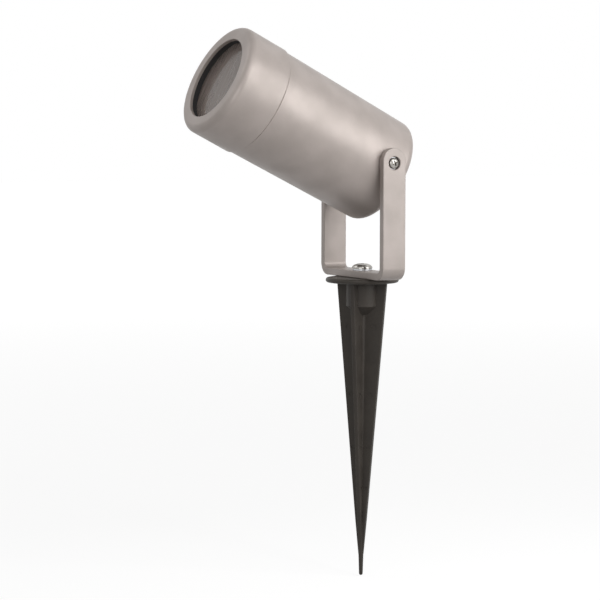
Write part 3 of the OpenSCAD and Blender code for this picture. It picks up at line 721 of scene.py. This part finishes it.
half_run = base_run + bend_run + leg_run
stations = [(half_run, angle) for angle in range(90, -1, -9)]
for step in reversed(range(leg_steps)):
    stations.append((base_run + bend_run + leg_run * step / leg_steps, None))
for step in reversed(range(bend_steps)):
    stations.append((base_run + bend_run * step / bend_steps, None))
for step in reversed(range(base_steps)):
    stations.append((base_run * step / base_steps, None))
layers = []
for step in range(edge_steps + 1):
    angle = math.radians(90 * step / edge_steps)
    layers.append((edge_round * (1 - math.sin(angle)), strip_thick / 2 - edge_round * (1 - math.cos(angle))))
layers = [(inset, lift) for inset, lift in layers] + [(inset, -lift) for inset, lift in reversed(layers)]
strip_rows = []
for run, angle in stations + [(-run, angle) for run, angle in reversed(stations[:-1])]:
    loop = []
    for inset, lift in layers:
        radius = strip_width / 2 - inset
        end = radius * math.sin(math.radians(angle)) if angle is not None else 0
        across = radius * math.cos(math.radians(angle)) if angle is not None else radius
        loop.append((math.copysign(abs(run) + end, run), across, lift))
    full = loop + [(r, -a, lift) for r, a, lift in reversed(loop)]
    strip_rows.append([along_yoke(*p) for p in full])
yoke = link_object("yoke_strip", skin("yoke_strip", strip_rows))

recess_outline = [
    (0, pivot_cut_over), (pivot_recess + pivot_recess_edge, pivot_cut_over),
    (pivot_recess + pivot_recess_edge, 0), (pivot_recess, -pivot_recess_edge),
    (pivot_recess, -pivot_recess_depth), (pivot_hole, -pivot_recess_depth),
    (pivot_hole, -pivot_cut_depth), (0, -pivot_cut_depth),
]
outward = {side: Matrix.Rotation(side * math.pi / 2, 4, "Y") for side in (-1, 1)}
for side in (-1, 1):
    cutter = lathe("recess cutter", recess_outline, around=64)
    cutter.transform(Matrix.Translation((side * yoke_high[0], 0, pivot_up)) @ outward[side])
    combine(yoke, link_object("recess cutter", cutter), "DIFFERENCE")
hole_outline = [
    (0, swivel_cut_half), (swivel_hole, swivel_cut_half),
    (swivel_hole, -swivel_cut_half), (0, -swivel_cut_half),
]
cutter = lathe("hole cutter", hole_outline, around=64)
cutter.transform(Matrix.Translation((0, 0, base_mid)))
combine(yoke, link_object("hole cutter", cutter), "DIFFERENCE")

# The housing's warm grey coat made about eight percent darker: painted shade on the yoke's legs.
yoke_coat_with_painted_shade = finish(
    "warm grey coat", ((0.470, 0.414, 0.385), (0.424, 0.374, 0.345)), metal=coat_metal,
    rough=coat_rough, grain=coat_grain, relief=0.000012,
)
yoke.data.materials.clear()
yoke.data.materials.append(yoke_coat_with_painted_shade)
soften(yoke)
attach(yoke, "yoke")
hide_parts("yoke_bracket")

# Head housing.
# One aluminium casting, coated warm grey: a slightly tapered tube with a rounded closed rear, a
# threaded neck for the ring, two bored lugs for the tilt screws, and pillars for the lamp's bracket.
tube_radius = 0.0313
rear_radius = 0.0304
rear_round = 0.005
seam_gap = 0.0003
shoulder_edge = 0.0003
seal_floor = 0.0286
seal_room = 0.002
thread_root = 0.02875
neck_edge = 0.0005
cavity_mouth = 0.0273
cavity_edge = 0.0003
cavity_rear = 0.0266
cavity_round = 0.002
rear_wall = 0.0032
gland_hole = 0.008
pad_radius = 0.0068
pad_out = 0.03059
pad_edge = 0.0003
lug_in = 0.02109
lug_edge = 0.0006
lug_bore = 0.00205
pillar_out = 0.021
pillar_radius = 0.0042
pillar_bore = 0.0018
pillar_bore_depth = 0.008
web_half = 0.002
web_end = 0.0281
web_drop = 0.0002
earth_turn = math.radians(-45)
earth_out = 0.0185
earth_pad = 0.0044
earth_rise = 0.0015
earth_bore = 0.00205
earth_bore_depth = 0.0014
earth_bore_past = 0.003
sunk = 0.001
bore_past = 0.002
ring_joint = next(joint for joint in frame["joints"] if joint["name"] == "ring_turn")
aim_axis = Vector(ring_joint["axis"])
side_axis = Vector((1, 0, 0))
aim = Matrix((side_axis, aim_axis.cross(side_axis), aim_axis)).transposed().to_4x4()
aim.translation = Vector(ring_joint["pos_m"])


def head_span(node_name):
    """Where a node starts and ends along the head's axis, and its smallest and largest radius."""
    back = aim.inverted()
    spots = [back @ corner.co for corner in frame["nodes"][node_name].data.vertices]
    heights = [spot.z for spot in spots]
    radii = [math.hypot(spot.x, spot.y) for spot in spots]
    return min(heights), max(heights), min(radii), max(radii)


def post(name, radius, low, high, place):
    """Round post from low to high along its own axis, moved to its place."""
    mesh = lathe(name, [(0, low), (radius, low), (radius, high), (0, high)], around=64)
    mesh.transform(place)
    return mesh


def block(name, low, high):
    """Box between two corners."""
    rows = []
    for z in (low[2], high[2]):
        rows.append([(low[0], low[1], z), (high[0], low[1], z), (high[0], high[1], z), (low[0], high[1], z)])
    middle = [(low[i] + high[i]) / 2 for i in range(2)]
    rows = [[(*middle, low[2])] * 4] + rows + [[(*middle, high[2])] * 4]
    return skin(name, rows)


def gather(name, meshes):
    """One mesh that holds several."""
    joined = bmesh.new()
    for mesh in meshes:
        joined.from_mesh(mesh)
        bpy.data.meshes.remove(mesh)
    whole = bpy.data.meshes.new(name)
    joined.to_mesh(whole)
    joined.free()
    return whole


rear_at, neck_end, _, _ = head_span("head_housing")
pillar_top = head_span("holder_bracket")[0]
ring_low, ring_high, ring_opening, ring_radius = head_span("front_ring")
shoulder = ring_low - seam_gap
floor_at = rear_at + rear_wall
housing_mesh = lathe("head_casting", rounded([
    (gland_hole, rear_at), (rear_radius, rear_at, rear_round), (tube_radius, shoulder, shoulder_edge),
    (seal_floor, shoulder), (seal_floor, shoulder + seal_room), (thread_root, shoulder + seal_room),
    (thread_root, neck_end, neck_edge), (cavity_mouth, neck_end, cavity_edge),
    (cavity_rear, floor_at, cavity_round), (gland_hole, floor_at),
], steps=8), around=160)
housing = link_object("head_casting", housing_mesh)
foot_at = floor_at - sunk
earth_spot = Matrix.Rotation(earth_turn, 4, "Z") @ Matrix.Translation((earth_out, 0, 0))
earth_bore_low = floor_at - earth_bore_depth
earth_bore_high = floor_at + earth_bore_past
solids = [post("earth pad", earth_pad, foot_at, floor_at + earth_rise, earth_spot)]
bores = [post("earth bore", earth_bore, earth_bore_low, earth_bore_high, earth_spot)]
for side in (-1, 1):
    lug = lathe("lug", rounded([
        (0, lug_in), (pad_radius, lug_in, lug_edge), (pad_radius, pad_out, pad_edge), (0, pad_out),
    ]), around=96)
    lug.transform(outward[side])
    solids.append(lug)
    spot = Matrix.Translation((0, side * pillar_out, 0))
    solids.append(post("pillar", pillar_radius, foot_at, pillar_top, spot))
    near, far = sorted((side * pillar_out, side * web_end))
    web_low = (-web_half, near, foot_at)
    web_high = (web_half, far, pillar_top - web_drop)
    solids.append(block("web", web_low, web_high))
    bores.append(post("lug bore", lug_bore, lug_in - bore_past, pad_out + bore_past, outward[side]))
    bore_low = pillar_top - pillar_bore_depth
    bores.append(post("pillar bore", pillar_bore, bore_low, pillar_top + bore_past, spot))
combine(housing, link_object("solids", gather("solids", solids)), "UNION")
combine(housing, link_object("bores", gather("bores", bores)), "DIFFERENCE")
housing.data.transform(aim)
housing.data.materials.clear()
cast_coat = finish(
    "cast coat", ((0.510, 0.448, 0.416), (0.461, 0.405, 0.374)), metal=coat_metal,
    rough=coat_rough, grain=coat_grain, relief=0.000014,
)
housing.data.materials.append(cast_coat)
soften(housing, angle=32)
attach(housing, "head")
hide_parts("head_housing")

thread_pitch = 0.002
thread_sink = 0.0001
neck_ridge = 0.0006
thread_start = shoulder + 0.0034
thread_end = neck_end - 0.0012


def thread_tree():
    """Tree that winds a rounded ridge round the head's axis, right-handed."""
    tree, given, out = new_tree("thread", {
        "Radius": "NodeSocketFloat",
        "Length": "NodeSocketFloat",
        "Pitch": "NodeSocketFloat",
        "Ridge": "NodeSocketFloat",
        "Start": "NodeSocketFloat",
        "Material": "NodeSocketMaterial",
    })
    turns = tree.nodes.new("ShaderNodeMath")
    turns.operation = "DIVIDE"
    tree.links.new(given.outputs["Length"], turns.inputs[0])
    tree.links.new(given.outputs["Pitch"], turns.inputs[1])
    helix = tree.nodes.new("GeometryNodeCurveSpiral")
    helix.inputs["Resolution"].default_value = 96
    tree.links.new(turns.outputs[0], helix.inputs["Rotations"])
    tree.links.new(given.outputs["Radius"], helix.inputs["Start Radius"])
    tree.links.new(given.outputs["Radius"], helix.inputs["End Radius"])
    tree.links.new(given.outputs["Length"], helix.inputs["Height"])
    ridge = tree.nodes.new("GeometryNodeCurvePrimitiveCircle")
    ridge.inputs["Resolution"].default_value = 10
    tree.links.new(given.outputs["Ridge"], ridge.inputs["Radius"])
    wind = tree.nodes.new("GeometryNodeCurveToMesh")
    wind.inputs["Fill Caps"].default_value = True
    tree.links.new(helix.outputs["Curve"], wind.inputs["Curve"])
    tree.links.new(ridge.outputs["Curve"], wind.inputs["Profile Curve"])
    lift = tree.nodes.new("ShaderNodeCombineXYZ")
    tree.links.new(given.outputs["Start"], lift.inputs["Z"])
    shift = tree.nodes.new("GeometryNodeTransform")
    tree.links.new(wind.outputs["Mesh"], shift.inputs["Geometry"])
    tree.links.new(lift.outputs["Vector"], shift.inputs["Translation"])
    close_tree(tree, shift.outputs["Geometry"], given, out)
    return tree


winding = thread_tree()


def thread(name, radius, ridge, start, end, body, material):
    """Threaded ridge on the neck or in the ring, as a piece of its own."""
    piece = link_object(name, bpy.data.meshes.new(name))
    grow(piece, winding, {
        "Radius": radius, "Length": end - start, "Pitch": thread_pitch, "Ridge": ridge, "Start": start,
        "Material": material,
    })
    shell = bmesh.new()
    shell.from_mesh(piece.data)
    bmesh.ops.recalc_face_normals(shell, faces=shell.faces)
    shell.to_mesh(piece.data)
    shell.free()
    piece.data.transform(aim)
    soften(piece, angle=60)
    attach(piece, body)


thread("neck_thread", thread_root - thread_sink, neck_ridge, thread_start, thread_end, "head", cast_coat)

# Sealing ring on the neck, and the friction washers between the lugs and the yoke's legs.
# A black silicone cord ring lies in the groove behind the thread, and thin nylon washers let the
# head turn without marking the coat.
black_rubber = finish(
    "black rubber", ((0.018, 0.018, 0.018), (0.028, 0.027, 0.026)), metal=0, rough=(0.55, 0.7),
    grain=0.0003, relief=0.000008,
)
black_nylon = finish(
    "black nylon", ((0.022, 0.022, 0.022), (0.034, 0.033, 0.032)), metal=0, rough=(0.38, 0.5),
    grain=0.0004, relief=0.000008,
)
dress(black_rubber, "neck_seal")
dress(black_nylon, "friction_washers")

# Tilt screws.
# Bright steel pan heads with cross recesses, sunk in the ends of the yoke's legs over spring
# washers. They are turned into the lugs and clamp the head at its angle.
tilt_head = 0.0031
tilt_height = 0.0022
tilt_shank = 0.002
tilt_tip_short = 0.0008
tilt_spin = math.radians(20)
tilt_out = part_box("pivot_screws")[1][0]
tilt_seat = tilt_out - tilt_height
tilt_length = tilt_seat - lug_in - tilt_tip_short
tilt_screws = set_screws(
    "tilt_screws",
    cross_screw("one tilt screw", tilt_head, tilt_height, tilt_shank, tilt_length),
    [(Vector((side * tilt_seat, 0, pivot_up)), Vector((side, 0, 0)), tilt_spin, 1) for side in (-1, 1)],
    bright_steel,
)
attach(tilt_screws, "head")
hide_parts("pivot_screws")
dress(zinc_steel, "pivot_lock_washers")

# Front ring.
# A die-cast aluminium ring in the same coat, with a broad round front edge. It screws on the
# housing's neck and holds the glass in its gasket against the end of the neck.
opening_edge = 0.0005
front_round = 0.004
rear_edge = 0.0006
inner_edge = 0.0002
ring_rear = ring_low - 0.0001
ring_bore = 0.0299
ring_seat = 0.0295
cone_low = neck_end + 0.0002
cone_high = neck_end + 0.0006
lip_back = ring_high - 0.002
skirt_bore = 0.0306
skirt_end = ring_low + 0.0024
ring_ridge = 0.00055
ring_thread_short = 0.0006
ring_mesh = lathe("front_ring_casting", rounded([
    (ring_opening, lip_back, inner_edge), (ring_opening, ring_high, opening_edge),
    (ring_radius, ring_high, front_round), (ring_radius, ring_rear, rear_edge),
    (skirt_bore, ring_rear, inner_edge), (skirt_bore, skirt_end),
    (ring_bore, skirt_end), (ring_bore, cone_low),
    (ring_seat, cone_high), (ring_seat, lip_back),
], steps=8), around=192)
ring_mesh.transform(aim)
ring = link_object("front_ring_casting", ring_mesh)
ring.data.materials.append(cast_coat)
soften(ring, angle=32)
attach(ring, "ring")
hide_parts("front_ring")
thread(
    "ring_thread", ring_bore + thread_sink, ring_ridge, thread_start + thread_pitch / 2,
    thread_end + thread_pitch / 2 - ring_thread_short, "ring", cast_coat,
)

# Gasket and glass.
# A moulded silicone ring with a U section grips the edge of a thick tempered disc, whose edges
# are ground to a small chamfer. Both lie in the front ring and come out with it.
glass_low, glass_high, _, glass_radius = head_span("lens_glass")
gasket_low, gasket_high, gasket_lap, gasket_radius = head_span("lens_gasket")
gasket_edge = 0.0003
gasket_front_edge = 0.0006
gasket_rear_edge = 0.0004
gasket_mesh = lathe("glass_gasket", rounded([
    (gasket_lap, glass_high, gasket_edge), (gasket_lap, gasket_high, gasket_front_edge),
    (gasket_radius, gasket_high, gasket_edge), (gasket_radius, gasket_low, gasket_edge),
    (gasket_lap, gasket_low, gasket_rear_edge), (gasket_lap, glass_low, gasket_edge),
    (glass_radius, glass_low), (glass_radius, glass_high),
]), around=160)
gasket_mesh.transform(aim)
gasket = link_object("glass_gasket", gasket_mesh)
gasket.data.materials.append(black_rubber)
soften(gasket)
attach(gasket, "lens_pack")
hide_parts("lens_gasket")

glass_play = 0.00002
glass_chamfer = 0.0004
disc_edge = glass_radius - glass_play
disc_low = glass_low + glass_play
disc_high = glass_high - glass_play
disc_mesh = lathe("glass_disc", [
    (0, disc_low), (disc_edge - glass_chamfer, disc_low), (disc_edge, disc_low + glass_chamfer),
    (disc_edge, disc_high - glass_chamfer), (disc_edge - glass_chamfer, disc_high), (0, disc_high),
], around=160)
disc_mesh.transform(aim)
disc = link_object("glass_disc", disc_mesh)
clear_glass = finish(
    "clear glass", ((0.95, 0.975, 0.96), (0.96, 0.98, 0.97)), metal=0, rough=(0.0, 0.02),
    grain=0.002, relief=0.0000005,
    constants={"Transmission Weight": 1.0, "IOR": 1.5, "Specular IOR Level": 0.25},
)
head_rise = math.radians(26.6)
streak_turn = math.radians(25)
film_low, film_high = 0.35, 0.7


def add_film(material, tone, least, most, across, along):
    """Mixes a warm grey diffuse layer in long streaks over a clear material."""
    nodes = material.node_tree.nodes
    links = material.node_tree.links
    place = nodes.new("ShaderNodeTexCoord")
    stretch = nodes.new("ShaderNodeMapping")
    stretch.inputs["Rotation"].default_value = (-head_rise, 0, streak_turn)
    stretch.inputs["Scale"].default_value = (across, along, along)
    links.new(place.outputs["Object"], stretch.inputs["Vector"])
    streaks = nodes.new("ShaderNodeTexNoise")
    streaks.inputs["Scale"].default_value = 1
    streaks.inputs["Detail"].default_value = 3
    links.new(stretch.outputs["Vector"], streaks.inputs["Vector"])
    cover = nodes.new("ShaderNodeMapRange")
    cover.inputs["From Min"].default_value = film_low
    cover.inputs["From Max"].default_value = film_high
    cover.inputs["To Min"].default_value = least
    cover.inputs["To Max"].default_value = most
    links.new(streaks.outputs["Fac"], cover.inputs["Value"])
    film = nodes.new("ShaderNodeBsdfDiffuse")
    film.inputs["Color"].default_value = (*tone, 1)
    both = nodes.new("ShaderNodeMixShader")
    links.new(cover.outputs["Result"], both.inputs[0])
    links.new(nodes["Principled BSDF"].outputs[0], both.inputs[1])
    links.new(film.outputs[0], both.inputs[2])
    links.new(both.outputs[0], nodes["Material Output"].inputs["Surface"])


# The glass gets a warm grey diffuse layer in long diagonal streaks.
add_film(clear_glass, (0.57, 0.475, 0.43), least=0.34, most=0.56, across=900, along=40)
disc.data.materials.append(clear_glass)
soften(disc)
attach(disc, "lens_pack")
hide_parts("lens_glass")

# Lamp.
# A two-pin twist-lock reflector lamp: a dark grey lacquered heat sink with slots, a white moulded base with
# two pins, and a lens with fine flutes, drawn nearly black: partly its own smoke grey, partly painted shade
# for the unlit inside behind the glass.
flute_pitch = 0.0013
flute_depth = 0.00016
flute_steps = 8
lens_play = 0.0001
lens_back, lens_front, _, lens_radius = head_span("lamp_lens")


def fluted_disc(name, radius, back, front):
    """Disc whose front is pressed into straight flutes from edge to edge."""
    count = int(2 * radius / flute_pitch) * flute_steps
    xs = [-radius * math.cos(math.pi * step / count) for step in range(count + 1)]
    points = []
    for x in xs:
        y = math.sqrt(max(radius ** 2 - x ** 2, 0))
        wave = flute_depth * abs(math.sin(math.pi * x / flute_pitch))
        points += [(x, -y, front - wave), (x, y, front - wave), (x, -y, back), (x, y, back)]
    faces = []
    for step in range(count):
        a = 4 * step
        b = a + 4
        faces += [(a, b, b + 1, a + 1), (a + 2, a + 3, b + 3, b + 2)]
        faces += [(a, a + 2, b + 2, b), (a + 1, b + 1, b + 3, a + 3)]
    return mesh_of(name, points, faces)


lens_mesh = fluted_disc("lamp_lens_disc", lens_radius - lens_play, lens_back, lens_front)
lens_mesh.transform(aim)
lens = link_object("lamp_lens_disc", lens_mesh)
# The lens is drawn nearly black, partly its own smoke grey and partly painted shade for the dark inside of
# the head.
smoke_grey_with_painted_shade = finish(
    "smoke grey lamp lens", ((0.070, 0.066, 0.062), (0.052, 0.049, 0.046)), metal=0, rough=(0.30, 0.40),
    grain=0.0005, relief=0.000004, constants={"Coat Weight": 0.3, "Coat Roughness": 0.15},
)
lens.data.materials.append(smoke_grey_with_painted_shade)
soften(lens, angle=50)
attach(lens, "lamp")
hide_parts("lamp_lens")
lacquer = finish(
    "dark grey lacquer", ((0.085, 0.083, 0.08), (0.065, 0.063, 0.061)), metal=0.3, rough=(0.36, 0.46),
    grain=0.0006, relief=0.00001,
)
dress(lacquer, "lamp_body")
white_moulding = finish(
    "white moulding", ((0.78, 0.77, 0.74), (0.72, 0.71, 0.69)), metal=0, rough=(0.25, 0.35),
    grain=0.001, relief=0.000004,
)
dress(white_moulding, "lamp_base")
dress(zinc_steel, "lamp_pins")

# Lamp holder, its bracket and the wiring.
# A two-part steatite holder with curved slots and brass contacts stands on a zinc plated bracket
# over the pillars. Behind it a terminal block takes the two silicone-sleeved leads.
ceramic = finish(
    "steatite", ((0.74, 0.71, 0.65), (0.66, 0.63, 0.57)), metal=0, rough=(0.55, 0.7),
    grain=0.0003, relief=0.00002, patch=120,
)
brass = finish(
    "brass", ((0.62, 0.44, 0.18), (0.50, 0.34, 0.13)), metal=1, rough=(0.25, 0.4),
    grain=0.0002, relief=0.000004, patch=300,
)
sleeve = finish(
    "silicone sleeve", ((0.70, 0.66, 0.60), (0.62, 0.58, 0.52)), metal=0, rough=(0.5, 0.65),
    grain=0.0004, relief=0.00001,
)
dress(ceramic, "lamp_holder", "terminal_block")
dress(brass, "holder_contacts", "terminal_screws")
dress(zinc_steel, "holder_bracket", "holder_screws", "bracket_screws", "block_screw", "earth_screw")
dress(sleeve, "holder_leads")

# Cable gland.
# A black nylon gland in the rear wall: flat rubber washer, hexagon body, lock nut inside, and a cap
# nut that squeezes a rubber seal onto the cable.
dress(black_rubber, "gland_washer", "gland_seal")
dress(black_nylon, "gland_body", "gland_locknut", "gland_cap")
